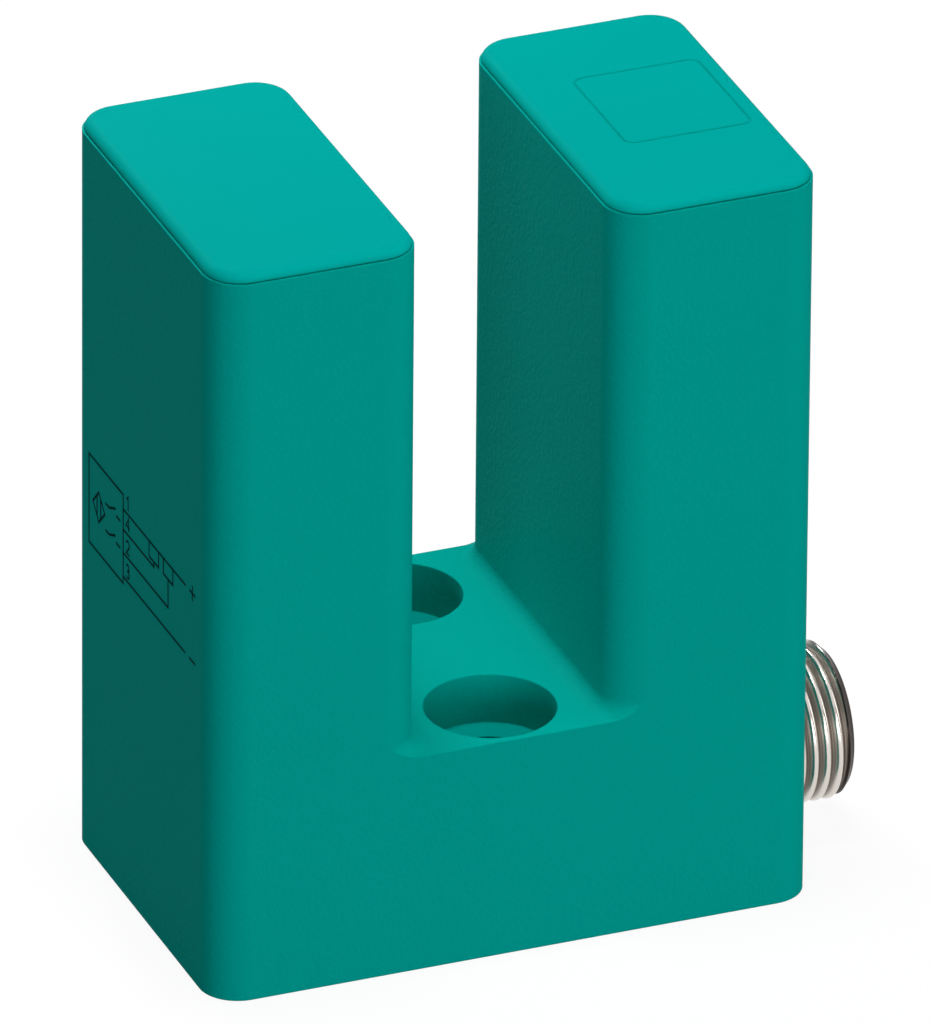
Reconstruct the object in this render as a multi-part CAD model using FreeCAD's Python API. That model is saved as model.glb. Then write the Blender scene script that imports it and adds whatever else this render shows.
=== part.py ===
import FreeCAD, Part
import math
import os

# Inductive slot sensor: a moulded U-shaped housing with one sensing coil in each leg, the
# electronics board in the right leg and a round plug connector low on the right side.
# Millimetres. X runs across the two legs, -Y is the front face, +Z is up.
# The origin is the centre of the mounting face.

# Housing
body_width = 48.0
body_depth = 30.0
rim_height = 59.8
slot_width = 15.0
slot_floor_height = 17.9
edge_radius = 3.0
foot_radius = 1.2
side_wall = 2.0
bottom_wall = 2.0

# Mounting holes in the slot floor, for two cap screws
hole_spacing = 19.0
hole_diameter = 5.5
counterbore_diameter = 10.0
counterbore_depth = 4.0

# Caps that close the tops of the legs
cap_lip_width = 0.3
cap_lip_depth = 0.4
cap_rise = 0.5
cap_edge_bevel = 0.5
cap_plug_depth = 2.6
cap_plug_wall = 1.4
cap_top_thickness = 1.6
cap_gap = 0.05
plug_gap = 0.1

# Sensing coils: half an E-shaped ferrite core, its bobbin and its winding in each leg
coil_below_rim = 14.3
coil_face_gap = 0.05
core_width = 20.0
core_stack = 11.0
core_length = 5.3
core_window_depth = 3.4
core_post_width = 5.0
core_side_width = 2.5
bobbin_post_gap = 0.1
bobbin_side_gap = 0.2
bobbin_end_gap = 0.05
bobbin_wall = 0.5
bobbin_flange = 0.45
winding_depth = 3.9
winding_gap = 0.02

# Moulded carriers that hold the cores
carrier_plate = 1.5
carrier_side_gap = 0.15
carrier_below_coil = 11.1
carrier_cap_gap = 0.05
carrier_pocket_depth = 1.8
carrier_pocket_wall = 0.8
carrier_rail_thickness = 1.0
carrier_arm_height = 3.0
carrier_arm_gap = 0.2
core_seat_gap = 0.05
post_width = 3.0
post_height = 1.75
post_spacing_y = 17.0
post_spacing_z = 16.0
peg_width = 1.1
peg_extra = 0.4

# Ribs inside the legs that the carriers and the board stand on
rib_depth = 1.0
rib_width = 3.0
rib_gap = 0.05

# Circuit board and the parts on it
board_thickness = 1.0
board_width = 22.6
board_boss_gap = 1.8
board_top_gap = 0.6
board_hole_diameter = 1.7
lead_thickness = 0.2
lead_width = 0.6
lead_spread = 1.0
end_cap_length = 0.6

# Plug connector, a metric 12 millimetre thread with four contacts
connector_y = -2.0
connector_height = 7.5
thread_diameter = 12.0
thread_reach = 6.2
thread_bevel = 0.6
thread_relief = 0.4
barrel_diameter = 10.8
barrel_gap = 0.05
seal_groove_depth = 0.5
seal_groove_width = 1.3
seal_gap = 0.02
shell_bore_diameter = 8.8
boss_diameter = 15.4
boss_length = 4.0
insert_face_depth = 8.5
insert_gap = 0.05
insert_collar_diameter = 10.0
insert_collar_thickness = 0.7
key_width = 1.5
key_height = 0.55
key_length = 6.0
key_root = 1.0
contact_diameter = 1.0
contact_circle_diameter = 5.0
contact_reach = 6.5
contact_bevel = 0.25
contact_tail = 1.5
contact_hole_gap = 0.02

# Wires and the channel that they cross in
channel_diameter = 7.0
coil_lead_diameter = 0.5
coil_lead_spacing = 1.4
coil_lead_overhang = 0.05
lead_bend_radius = 3.0
wire_diameter = 0.9
wire_bend_radius = 2.5
bend_share = 0.45
bend_steps = 3
wire_sides = 6
lead_below_carrier = 3.4
lead_step = 5.0
wire_first_rise = 1.5
wire_second_rise = 3.0
wire_first_end_height = 20.0
wire_second_end_height = 22.6
joint_gap = 0.02

# Places that follow from the sizes above
slot_half = slot_width / 2
body_half = body_width / 2
depth_half = body_depth / 2
leg_width = body_half - slot_half
leg_centre = slot_half + leg_width / 2
chamber_near = slot_half + side_wall
chamber_far = body_half - side_wall
chamber_width = chamber_far - chamber_near
chamber_depth = body_depth - 2 * side_wall
chamber_half_depth = chamber_depth / 2
inner_radius = edge_radius - side_wall
hole_y = hole_spacing / 2
coil_height = rim_height - coil_below_rim
cap_seat = rim_height - cap_lip_depth
cap_underside = cap_seat - cap_plug_depth
core_back = coil_face_gap + core_length
plate_front = core_back + core_seat_gap
plate_back = plate_front + carrier_plate
board_front = plate_back + post_height
board_back = board_front + board_thickness
carrier_bottom_height = coil_height - carrier_below_coil
carrier_top_height = cap_underside - carrier_cap_gap
board_bottom_height = connector_height + boss_diameter / 2 + board_boss_gap
right_lead_end_height = carrier_bottom_height - lead_below_carrier
left_lead_end_height = right_lead_end_height - lead_step
board_x = chamber_near + board_front
board_face_x = chamber_near + board_back
thread_radius = thread_diameter / 2
barrel_radius = barrel_diameter / 2
shell_bore_radius = shell_bore_diameter / 2
boss_rear = chamber_far - boss_length
mouth_x = body_half + thread_reach
thread_start = body_half + thread_relief
groove_start = (boss_rear + body_half - seal_groove_width) / 2
groove_end = groove_start + seal_groove_width
insert_face_x = mouth_x - insert_face_depth
insert_rear_x = boss_rear - insert_collar_thickness
tail_end_x = insert_rear_x - contact_tail
bobbin_start = coil_face_gap + bobbin_end_gap
bobbin_end = coil_face_gap + core_window_depth - bobbin_end_gap
barrel_half_width = core_post_width / 2 + bobbin_post_gap + bobbin_wall
barrel_half_stack = core_stack / 2 + bobbin_post_gap + bobbin_wall
winding_bottom = barrel_half_stack + winding_gap + winding_depth
lead_x = chamber_near + (bobbin_start + bobbin_end) / 2
contact_offset = contact_circle_diameter / 2 * math.sqrt(0.5)

axis_x = FreeCAD.Vector(1, 0, 0)
axis_y = FreeCAD.Vector(0, 1, 0)
axis_z = FreeCAD.Vector(0, 0, 1)
origin = FreeCAD.Vector(0, 0, 0)


def block(x0, x1, y0, y1, z0, z1):
    """Box between two opposite corners."""
    return Part.makeBox(x1 - x0, y1 - y0, z1 - z0, FreeCAD.Vector(x0, y0, z0))


def rod_x(radius, x0, x1, y=0.0, z=0.0):
    """Cylinder along X from x0 to x1."""
    return Part.makeCylinder(radius, x1 - x0, FreeCAD.Vector(x0, y, z), axis_x)


def rounded_outline(length, width, radius):
    """Closed wire of a rounded rectangle in the XY plane, centred on the origin."""
    a = length / 2
    b = width / 2
    diagonal = radius * math.sqrt(0.5)
    corners = [(1, -1), (1, 1), (-1, 1), (-1, -1)]
    edges = []
    last = None
    first = None
    for sx, sy in corners:
        centre = FreeCAD.Vector(sx * (a - radius), sy * (b - radius), 0)
        middle = centre + FreeCAD.Vector(sx * diagonal, sy * diagonal, 0)
        on_y = centre + FreeCAD.Vector(0, sy * radius, 0)
        on_x = centre + FreeCAD.Vector(sx * radius, 0, 0)
        start, end = (on_y, on_x) if sx * sy < 0 else (on_x, on_y)
        if last is not None:
            edges.append(Part.LineSegment(last, start).toShape())
        else:
            first = start
        edges.append(Part.Arc(start, middle, end).toShape())
        last = end
    edges.append(Part.LineSegment(last, first).toShape())
    return Part.Wire(edges)


def rounded_prism(length, width, radius, z0, z1, x=0.0, y=0.0):
    """Upright prism with a rounded rectangular section between two heights."""
    face = Part.Face(rounded_outline(length, width, radius))
    prism = face.extrude(FreeCAD.Vector(0, 0, z1 - z0))
    prism.translate(FreeCAD.Vector(x, y, z0))
    return prism


def top_edges(shape, height):
    """Edges that lie flat at one height."""
    return [e for e in shape.Edges
            if abs(e.BoundBox.ZMin - height) < 1e-6 and abs(e.BoundBox.ZMax - height) < 1e-6]


def in_leg(shape, side):
    """Carry a shape from the coil's own frame into the right (+1) or left (-1) leg.

    In that frame the origin is on the coil's axis at the inner face of the slot wall, and +X
    points away from the slot.
    """
    placed = shape.copy()
    if side < 0:
        placed.rotate(origin, axis_z, 180)
    placed.translate(FreeCAD.Vector(side * chamber_near, 0, coil_height))
    return placed


def foot_fillet(side):
    """Concave rounding where one leg rises out of the slot floor, round both its corners."""
    r = foot_radius
    centre_x = slot_half + edge_radius
    centre_y = depth_half - edge_radius
    section = Part.Wire([
        Part.LineSegment(FreeCAD.Vector(slot_half, 0, slot_floor_height),
                         FreeCAD.Vector(slot_half - r, 0, slot_floor_height)).toShape(),
        Part.Arc(FreeCAD.Vector(slot_half - r, 0, slot_floor_height),
                 FreeCAD.Vector(slot_half - r + r * math.sqrt(0.5), 0,
                                slot_floor_height + r - r * math.sqrt(0.5)),
                 FreeCAD.Vector(slot_half, 0, slot_floor_height + r)).toShape(),
        Part.LineSegment(FreeCAD.Vector(slot_half, 0, slot_floor_height + r),
                         FreeCAD.Vector(slot_half, 0, slot_floor_height)).toShape()])
    face = Part.Face(section)
    straight = face.copy()
    straight.translate(FreeCAD.Vector(0, -centre_y, 0))
    strip = straight.extrude(FreeCAD.Vector(0, 2 * centre_y, 0))
    for end in (-1, 1):
        corner = face.copy()
        corner.translate(FreeCAD.Vector(0, end * centre_y, 0))
        turn = corner.revolve(FreeCAD.Vector(centre_x, end * centre_y, 0), axis_z, -end * 90)
        strip = strip.fuse(turn)
    strip = strip.common(block(-body_half, body_half, -depth_half, depth_half, 0, rim_height))
    if side < 0:
        strip.rotate(origin, axis_z, 180)
    return strip


def chamber(side):
    """Inner space of one leg, down into the base."""
    space = rounded_prism(chamber_width, chamber_depth, inner_radius, bottom_wall, rim_height,
                          side * leg_centre)
    rib_near = chamber_near + plate_front - rib_width / 2
    for face in (-1, 1):
        y0, y1 = sorted((face * chamber_half_depth, face * (chamber_half_depth - rib_depth)))
        x0, x1 = sorted((side * rib_near, side * (rib_near + rib_width)))
        space = space.cut(block(x0, x1, y0, y1, bottom_wall, carrier_bottom_height - rib_gap))
    return space


def board_ribs():
    """Two ribs in the right leg that the circuit board stands on."""
    middle = (board_x + board_face_x) / 2
    reach = chamber_half_depth - board_width / 2 + rib_depth
    ribs = None
    for face in (-1, 1):
        y0, y1 = sorted((face * chamber_half_depth, face * (chamber_half_depth - reach)))
        rib = block(middle - rib_width / 2, middle + rib_width / 2, y0, y1,
                    bottom_wall, board_bottom_height - rib_gap)
        ribs = rib if ribs is None else ribs.fuse(rib)
    return ribs


def housing():
    """One-piece moulded housing: base, two hollow legs and a boss for the connector."""
    body = rounded_prism(body_width, body_depth, edge_radius, 0, slot_floor_height)
    for side in (-1, 1):
        leg = rounded_prism(leg_width, body_depth, edge_radius, 0, rim_height, side * leg_centre)
        body = body.fuse(leg)
        body = body.fuse(foot_fillet(side))
    body = body.removeSplitter()
    for side in (-1, 1):
        space = chamber(side)
        if side > 0:
            boss = rod_x(boss_diameter / 2, boss_rear, chamber_far, connector_y, connector_height)
            space = space.cut(boss)
            space = space.cut(board_ribs())
        seat = rounded_prism(leg_width - 2 * cap_lip_width, body_depth - 2 * cap_lip_width,
                             edge_radius - cap_lip_width, cap_seat, rim_height,
                             side * leg_centre)
        body = body.cut(space.fuse(seat))
    body = body.cut(rod_x(channel_diameter / 2, -chamber_near, chamber_near,
                          connector_y, connector_height))
    body = body.cut(rod_x(barrel_radius + barrel_gap, boss_rear, body_half,
                          connector_y, connector_height))
    for face in (-1, 1):
        centre = FreeCAD.Vector(0, face * hole_y, 0)
        body = body.cut(Part.makeCylinder(hole_diameter / 2, slot_floor_height, centre))
        centre.z = slot_floor_height - counterbore_depth
        body = body.cut(Part.makeCylinder(counterbore_diameter / 2, counterbore_depth, centre))
    return body


def cap(side):
    """Cap of one leg: a plate with a bevelled edge, over a hollow plug that fits the leg."""
    edge = cap_lip_width + cap_gap
    top = rim_height + cap_rise
    plate = rounded_prism(leg_width - 2 * edge, body_depth - 2 * edge, edge_radius - edge,
                          cap_seat, top, side * leg_centre)
    plate = plate.makeChamfer(cap_edge_bevel, top_edges(plate, top))
    plug_length = chamber_width - 2 * plug_gap
    plug_width = chamber_depth - 2 * plug_gap
    plug = rounded_prism(plug_length, plug_width, inner_radius - plug_gap,
                         cap_underside, cap_seat, side * leg_centre)
    pocket = block(-plug_length / 2 + cap_plug_wall, plug_length / 2 - cap_plug_wall,
                   -plug_width / 2 + cap_plug_wall, plug_width / 2 - cap_plug_wall,
                   cap_underside, top - cap_top_thickness)
    pocket.translate(FreeCAD.Vector(side * leg_centre, 0, 0))
    return plate.fuse(plug).cut(pocket).removeSplitter()


def ferrite_core():
    """Half of an E-shaped core: three legs that face the slot, on one back bar."""
    half = core_width / 2
    stack = core_stack / 2
    core = block(coil_face_gap, core_back, -half, half, -stack, stack)
    for face in (-1, 1):
        y0, y1 = sorted((face * core_post_width / 2, face * (half - core_side_width)))
        core = core.cut(block(coil_face_gap, coil_face_gap + core_window_depth, y0, y1,
                              -stack, stack))
    return core


def coil_bobbin():
    """Rectangular spool with two flanges on the core's centre leg."""
    rim_y = core_width / 2 - core_side_width - bobbin_side_gap
    rim_z = winding_bottom + bobbin_side_gap
    bore_y = core_post_width / 2 + bobbin_post_gap
    bore_z = core_stack / 2 + bobbin_post_gap
    spool = block(bobbin_start, bobbin_end, -barrel_half_width, barrel_half_width,
                  -barrel_half_stack, barrel_half_stack)
    for x0 in (bobbin_start, bobbin_end - bobbin_flange):
        spool = spool.fuse(block(x0, x0 + bobbin_flange, -rim_y, rim_y, -rim_z, rim_z))
    spool = spool.cut(block(bobbin_start, bobbin_end, -bore_y, bore_y, -bore_z, bore_z))
    return spool.removeSplitter()


def coil_winding():
    """The wound wire as one ring between the flanges, round at its outer corners."""
    length = bobbin_end - bobbin_start - 2 * (bobbin_flange + winding_gap)
    wide = 2 * (barrel_half_width + winding_gap)
    tall = 2 * (barrel_half_stack + winding_gap)
    ring = rounded_prism(tall + 2 * winding_depth, wide + 2 * winding_depth, winding_depth,
                         0, length)
    ring = ring.cut(block(-tall / 2, tall / 2, -wide / 2, wide / 2, 0, length))
    ring.rotate(origin, axis_y, 90)
    ring.translate(FreeCAD.Vector(bobbin_start + bobbin_flange + winding_gap, 0, 0))
    return ring


def coil_carrier():
    """Moulded carrier: a plate with a pocket for the core, side rails and board posts."""
    low = carrier_bottom_height - coil_height
    high = carrier_top_height - coil_height
    half = chamber_half_depth - carrier_side_gap
    inside = half - carrier_rail_thickness
    carrier = block(plate_front, plate_back, -half, half, low, high)
    pocket_y = core_width / 2 + core_seat_gap
    pocket_z = core_stack / 2 + core_seat_gap
    rim = block(plate_front - carrier_pocket_depth, plate_front,
                -pocket_y - carrier_pocket_wall, pocket_y + carrier_pocket_wall,
                -pocket_z - carrier_pocket_wall, pocket_z + carrier_pocket_wall)
    rim = rim.cut(block(plate_front - carrier_pocket_depth, plate_front, -pocket_y, pocket_y,
                        -pocket_z, pocket_z))
    carrier = carrier.fuse(rim)
    for face in (-1, 1):
        y0, y1 = sorted((face * inside, face * half))
        carrier = carrier.fuse(block(carrier_arm_gap, plate_front, y0, y1, low, high))
        for z0 in (low, high - carrier_arm_height):
            arm = block(plate_back, chamber_width - carrier_arm_gap, y0, y1,
                        z0, z0 + carrier_arm_height)
            carrier = carrier.fuse(arm)
    for y, z in post_places():
        half_post = post_width / 2
        carrier = carrier.fuse(block(plate_back, board_front, y - half_post, y + half_post,
                                     z - half_post, z + half_post))
    for y, z in peg_places():
        half_peg = peg_width / 2
        carrier = carrier.fuse(block(board_front, board_back + peg_extra, y - half_peg,
                                     y + half_peg, z - half_peg, z + half_peg))
    envelope = rounded_prism(chamber_width - 2 * carrier_arm_gap, 2 * half,
                             inner_radius - carrier_side_gap, low, high, chamber_width / 2)
    return carrier.common(envelope).removeSplitter()


def post_places():
    """The four places of the carrier's posts, about the coil's axis."""
    half_y = post_spacing_y / 2
    half_z = post_spacing_z / 2
    return [(sy * half_y, sz * half_z) for sy in (-1, 1) for sz in (-1, 1)]


def peg_places():
    """The two posts on a diagonal that also carry a peg through the board."""
    return [(y, z) for y, z in post_places() if y * z > 0]


def circuit_board():
    """Board that stands in the right leg, with holes for the carrier's pegs."""
    high = carrier_top_height - coil_height - board_top_gap
    low = board_bottom_height - coil_height
    outline = block(board_front, board_back, -board_width / 2, board_width / 2, low, high)
    for y, z in peg_places():
        outline = outline.cut(rod_x(board_hole_diameter / 2, board_front, board_back, y, z))
    return in_leg(outline, 1)


# Parts on the board: name, side of the board (+1 outer, -1 inner), place along Y, height
# (the upper ones go with the coil, the lower ones with the board's lower edge),
# size along Y, size along Z, thickness, leads on each side (0 for plain end caps).
board_parts = [
    ("sensing_chip", 1, 0.0, coil_height + 0.5, 3.9, 5.0, 1.4, 4),
    ("output_transistor", 1, -5.0, board_bottom_height + 14.0, 3.5, 6.5, 1.6, 3),
    ("voltage_regulator", 1, 5.0, board_bottom_height + 13.5, 3.5, 6.5, 1.6, 3),
    ("surge_diode", 1, 5.0, board_bottom_height + 6.5, 2.6, 4.3, 1.1, 1),
    ("polarity_diode", 1, -5.0, board_bottom_height + 5.5, 1.8, 2.8, 1.1, 1),
    ("supply_capacitor", -1, 6.0, board_bottom_height + 6.0, 3.2, 6.0, 2.6, 0),
    ("left_tank_capacitor", 1, -6.6, coil_height + 3.0, 1.6, 3.2, 1.2, 0),
    ("right_tank_capacitor", 1, 6.6, coil_height + 3.0, 1.6, 3.2, 1.2, 0),
    ("filter_capacitor", 1, 0.0, coil_height - 6.5, 1.6, 3.2, 1.2, 0),
    ("base_resistor", 1, -0.5, board_bottom_height + 12.5, 1.6, 3.2, 0.6, 0),
    ("sense_resistor", 1, -6.6, coil_height - 3.0, 1.6, 3.2, 0.6, 0),
    ("threshold_resistor", 1, 6.6, coil_height - 3.0, 1.6, 3.2, 0.6, 0),
    ("pull_up_resistor", 1, -0.5, board_bottom_height + 9.0, 1.6, 3.2, 0.6, 0),
]


def board_part(side, y, z, size_y, size_z, thickness, leads):
    """One part on the board: a block that stands on its end caps, or on bent flat leads."""
    foot = lead_thickness
    body = block(foot, thickness, -size_y / 2, size_y / 2, -size_z / 2, size_z / 2)
    if leads == 0:
        for end in (-1, 1):
            z0, z1 = sorted((end * size_z / 2, end * (size_z / 2 - end_cap_length)))
            body = body.fuse(block(0, thickness, -size_y / 2, size_y / 2, z0, z1))
    pitch = size_z / max(leads, 1)
    middle = thickness / 2
    for end in (-1, 1):
        for k in range(leads):
            at = (k - (leads - 1) / 2) * pitch
            outer = end * (size_y / 2 + lead_spread)
            y0, y1 = sorted((end * size_y / 2, end * (size_y / 2 + 2 * foot)))
            shelf = block(middle - foot / 2, middle + foot / 2, y0, y1, at - lead_width / 2,
                          at + lead_width / 2)
            y0, y1 = sorted((end * (size_y / 2 + foot), end * (size_y / 2 + 2 * foot)))
            leg = block(0, middle + foot / 2, y0, y1, at - lead_width / 2,
                        at + lead_width / 2)
            y0, y1 = sorted((end * (size_y / 2 + foot), outer))
            pad = block(0, foot, y0, y1, at - lead_width / 2,
                        at + lead_width / 2)
            body = body.fuse(shelf.fuse(leg).fuse(pad))
    body = body.removeSplitter()
    if side < 0:
        body.rotate(origin, axis_z, 180)
    face_x = board_face_x if side > 0 else board_x
    body.translate(FreeCAD.Vector(face_x, y, z))
    return body


def turned(profile, y=connector_y, z=connector_height):
    """Solid of revolution of (x, radius) points about the line along X through (y, z)."""
    corners = [FreeCAD.Vector(x, y + radius, z) for x, radius in profile]
    face = Part.Face(Part.makePolygon(corners + corners[:1]))
    return face.revolve(FreeCAD.Vector(0, y, z), axis_x, 360)


def connector_shell():
    """Metal sleeve: thread outside the wall, a smooth barrel with a seal groove inside it."""
    groove_radius = barrel_radius - seal_groove_depth
    return turned([(boss_rear, shell_bore_radius), (boss_rear, barrel_radius),
                   (groove_start, barrel_radius), (groove_start, groove_radius),
                   (groove_end, groove_radius), (groove_end, barrel_radius),
                   (thread_start, barrel_radius), (thread_start, thread_radius),
                   (mouth_x - thread_bevel, thread_radius),
                   (mouth_x, thread_radius - thread_bevel), (mouth_x, shell_bore_radius)])


def connector_seal():
    """Rubber ring in the barrel's groove, between the sleeve and the housing."""
    inside = barrel_radius - seal_groove_depth + seal_gap
    outside = barrel_radius + seal_gap
    return turned([(groove_start + seal_gap, inside), (groove_start + seal_gap, outside),
                   (groove_end - seal_gap, outside), (groove_end - seal_gap, inside)])


def contact_places():
    """The four contacts about the connector's axis, as (y, z)."""
    return [(connector_y + sy * contact_offset, connector_height + sz * contact_offset)
            for sy, sz in ((-1, 1), (1, 1), (1, -1), (-1, -1))]


def contact_insert():
    """Plastic insert that holds the contacts, with a coding key along the bore."""
    y = connector_y
    z = connector_height
    radius = shell_bore_radius - insert_gap
    insert = rod_x(radius, insert_rear_x, insert_face_x, y, z)
    insert = insert.fuse(rod_x(insert_collar_diameter / 2, insert_rear_x,
                               boss_rear - insert_gap, y, z))
    key = block(insert_face_x - key_root, insert_face_x + key_length,
                y - key_width / 2, y + key_width / 2, z + radius - key_height, z + radius)
    key = key.common(rod_x(radius, insert_rear_x, mouth_x, y, z))
    insert = insert.fuse(key)
    for py, pz in contact_places():
        hole = rod_x(contact_diameter / 2 + contact_hole_gap, insert_rear_x, mouth_x, py, pz)
        insert = insert.cut(hole)
    return insert.removeSplitter()


def contact_pin(y, z):
    """One contact: a round pin with a bevelled tip."""
    tip = insert_face_x + contact_reach
    radius = contact_diameter / 2
    return turned([(tail_end_x, 0), (tail_end_x, radius), (tip - contact_bevel, radius),
                   (tip, radius - contact_bevel), (tip, 0)], y, z)


def bent_wire(points, diameter, bend_radius):
    """Wire along straight runs, with each bend made of a few short straight steps."""
    places = [FreeCAD.Vector(*p) for p in points]
    path = [places[0]]
    for before, here, after in zip(places, places[1:], places[2:]):
        run_in = before - here
        run_out = after - here
        turn = math.pi - run_in.getAngle(run_out)
        shorter = min(run_in.Length, run_out.Length)
        cut_back = min(bend_share * shorter, bend_radius * math.tan(turn / 2))
        radius = cut_back / math.tan(turn / 2)
        run_in.normalize()
        run_out.normalize()
        start = here + run_in * cut_back
        for step in range(bend_steps + 1):
            angle = turn * step / bend_steps
            path.append(start - run_in * radius * math.sin(angle)
                        + (run_out + run_in * math.cos(turn)) * radius
                        * (1 - math.cos(angle)) / math.sin(turn))
    path.append(places[-1])
    along = (places[1] - places[0]).normalize()
    across = along.cross(axis_y)
    rim = []
    for k in range(wire_sides):
        angle = 2 * math.pi * k / wire_sides
        rim.append(places[0] + (across * math.cos(angle) + axis_y * math.sin(angle))
                   * diameter / 2)
    section = Part.makePolygon(rim + rim[:1])
    right_corners = 1
    return Part.makePolygon(path).makePipeShell([section], True, False, right_corners)


def coil_leads(side):
    """The two lead routes of one coil: down its leg, and for the left coil across the base."""
    start_height = coil_height - winding_bottom - coil_lead_overhang
    routes = []
    for y in (-coil_lead_spacing / 2, coil_lead_spacing / 2):
        end_x = board_x - joint_gap
        if side > 0:
            points = [(lead_x, y, start_height), (lead_x, y, right_lead_end_height),
                      (end_x, y, right_lead_end_height)]
        else:
            points = [(-lead_x, y, start_height), (-lead_x, y, connector_height),
                      (lead_x, y, connector_height),
                      (lead_x, y, left_lead_end_height), (end_x, y, left_lead_end_height)]
        routes.append(points)
    return routes


def connector_wires():
    """Routes of the four wires from the solder ends up to the board."""
    routes = []
    for y, z in contact_places():
        upper = z > connector_height
        back = wire_first_rise if upper else wire_second_rise
        height = wire_first_end_height if upper else wire_second_end_height
        rise_x = tail_end_x - back
        routes.append([(tail_end_x - joint_gap, y, z), (rise_x, y, z), (rise_x, y, height),
                       (board_x - joint_gap, y, height)])
    return routes


def build():
    """Every piece of the sensor by name."""
    pieces = {"housing": housing()}
    for side, leg in ((-1, "left"), (1, "right")):
        pieces[leg + "_cap"] = cap(side)
        pieces[leg + "_ferrite_core"] = in_leg(ferrite_core(), side)
        pieces[leg + "_coil_bobbin"] = in_leg(coil_bobbin(), side)
        pieces[leg + "_coil_winding"] = in_leg(coil_winding(), side)
        pieces[leg + "_coil_carrier"] = in_leg(coil_carrier(), side)
        for number, points in enumerate(coil_leads(side), 1):
            lead = bent_wire(points, coil_lead_diameter, lead_bend_radius)
            pieces["%s_coil_lead_%d" % (leg, number)] = lead
    pieces["circuit_board"] = circuit_board()
    for name, side, y, z, size_y, size_z, thickness, leads in board_parts:
        pieces[name] = board_part(side, y, z, size_y, size_z, thickness, leads)
    pieces["connector_shell"] = connector_shell()
    pieces["connector_seal"] = connector_seal()
    pieces["contact_insert"] = contact_insert()
    for number, (y, z) in enumerate(contact_places(), 1):
        pieces["contact_pin_%d" % number] = contact_pin(y, z)
    for number, points in enumerate(connector_wires(), 1):
        pieces["connector_wire_%d" % number] = bent_wire(points, wire_diameter,
                                                         wire_bend_radius)
    return pieces


os.makedirs("parts", exist_ok=True)
for name, shape in build().items():
    shape.exportStep("parts/" + name + ".step")
    print("%-22s valid %s  volume %8.1f" % (name, shape.isValid(), shape.Volume))
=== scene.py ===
# %% [markdown]
# # An inductive slot sensor
# The object is a moulded U-shaped housing about 60 mm tall. A metal vane passes through its
# slot, between a coil in the left leg and a coil in the right leg. Two caps close the legs, two
# counterbored holes in the slot floor take its screws, and a threaded metal plug sits low on
# the right side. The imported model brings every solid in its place, in metres, so nothing has to
# be fitted: this lesson only adds the finer shapes and the finishes.

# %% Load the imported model
import math

import bmesh
import bpy
import numpy as np
from mathutils import Matrix, Vector


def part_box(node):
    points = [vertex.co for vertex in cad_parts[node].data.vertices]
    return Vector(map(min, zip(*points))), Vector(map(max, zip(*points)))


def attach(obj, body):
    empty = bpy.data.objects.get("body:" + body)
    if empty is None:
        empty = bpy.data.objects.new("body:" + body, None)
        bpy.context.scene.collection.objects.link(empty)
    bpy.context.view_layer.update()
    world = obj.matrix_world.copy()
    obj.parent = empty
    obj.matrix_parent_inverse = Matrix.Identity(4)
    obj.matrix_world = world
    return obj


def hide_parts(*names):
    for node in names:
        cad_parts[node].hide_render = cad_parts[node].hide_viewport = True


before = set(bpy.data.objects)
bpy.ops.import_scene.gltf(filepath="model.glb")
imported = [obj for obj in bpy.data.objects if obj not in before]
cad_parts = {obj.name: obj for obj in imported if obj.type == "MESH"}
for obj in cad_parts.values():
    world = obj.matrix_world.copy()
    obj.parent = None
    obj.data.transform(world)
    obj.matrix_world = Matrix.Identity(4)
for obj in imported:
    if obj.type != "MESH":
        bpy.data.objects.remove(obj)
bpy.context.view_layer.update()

millimetre = 0.001
micrometre = 0.001 * millimetre

# %% [markdown]
# ## The camera
# The photograph was taken with a long lens from the front left and above, so the upright edges
# stay nearly parallel. A camera could be placed by eye, but the straight edges of the body give
# its direction, roll and distance exactly. The direction is an azimuth about the upright axis
# and an elevation, and the camera looks back along it.

# %% Place the camera
scene = bpy.context.scene


def new_object(name, data):
    """New object that shows a camera, a lamp or a mesh in the scene."""
    made = bpy.data.objects.new(name, data)
    scene.collection.objects.link(made)
    return made


azimuth = math.radians(-21.745)
elevation = math.radians(27.718)
roll = math.radians(0.449)
distance = 1.900
slide_right = 1.575 * millimetre
slide_up = -0.443 * millimetre
aim = Vector((0, 0, 30 * millimetre))
focal_length_in_pixels = 25604
photo_height_in_pixels = 1024

back = Vector((math.sin(azimuth) * math.cos(elevation),
               -math.cos(azimuth) * math.cos(elevation), math.sin(elevation)))
level = Vector((math.cos(azimuth), math.sin(azimuth), 0))
upright = back.cross(level)
right = level * math.cos(roll) + upright * math.sin(roll)
up = upright * math.cos(roll) - level * math.sin(roll)
place = aim + back * distance + right * slide_right + up * slide_up

camera_data = bpy.data.cameras.new("photo_camera")
camera_data.sensor_width = 36
camera_data.lens = camera_data.sensor_width * focal_length_in_pixels / photo_height_in_pixels
camera_data.clip_start = 0.1
camera_data.clip_end = 10
camera = new_object("photo_camera", camera_data)
turn = Matrix((right, up, back)).transposed().to_4x4()
camera.matrix_world = Matrix.Translation(place) @ turn
bpy.context.scene.camera = camera
print("lens %.1f mm at %.3f m" % (camera_data.lens, distance))

# %% [markdown]
# ## Nodes and their links
# The world and every finish here are node trees. A node could be made, set and linked line by
# line. Small helpers make the trees shorter to write and easier to read: one adds a node with
# its values, and one joins many sockets, where each link is a row of four: a node, its
# output, the other node and its input. A third one adds the test that the background and
# the floor share: whether the camera sees them directly, in a mirror or through glass.

# %% Write the helpers for node trees
def add_node(tree, kind, sockets=None, **properties):
    """New node of a kind. Its plain properties are set first, because some of them decide
    which sockets it has, and then its input sockets, by name or number."""
    node = tree.nodes.new(kind)
    for name, value in properties.items():
        setattr(node, name, value)
    for name, value in (sockets or {}).items():
        node.inputs[name].default_value = value
    return node


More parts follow.
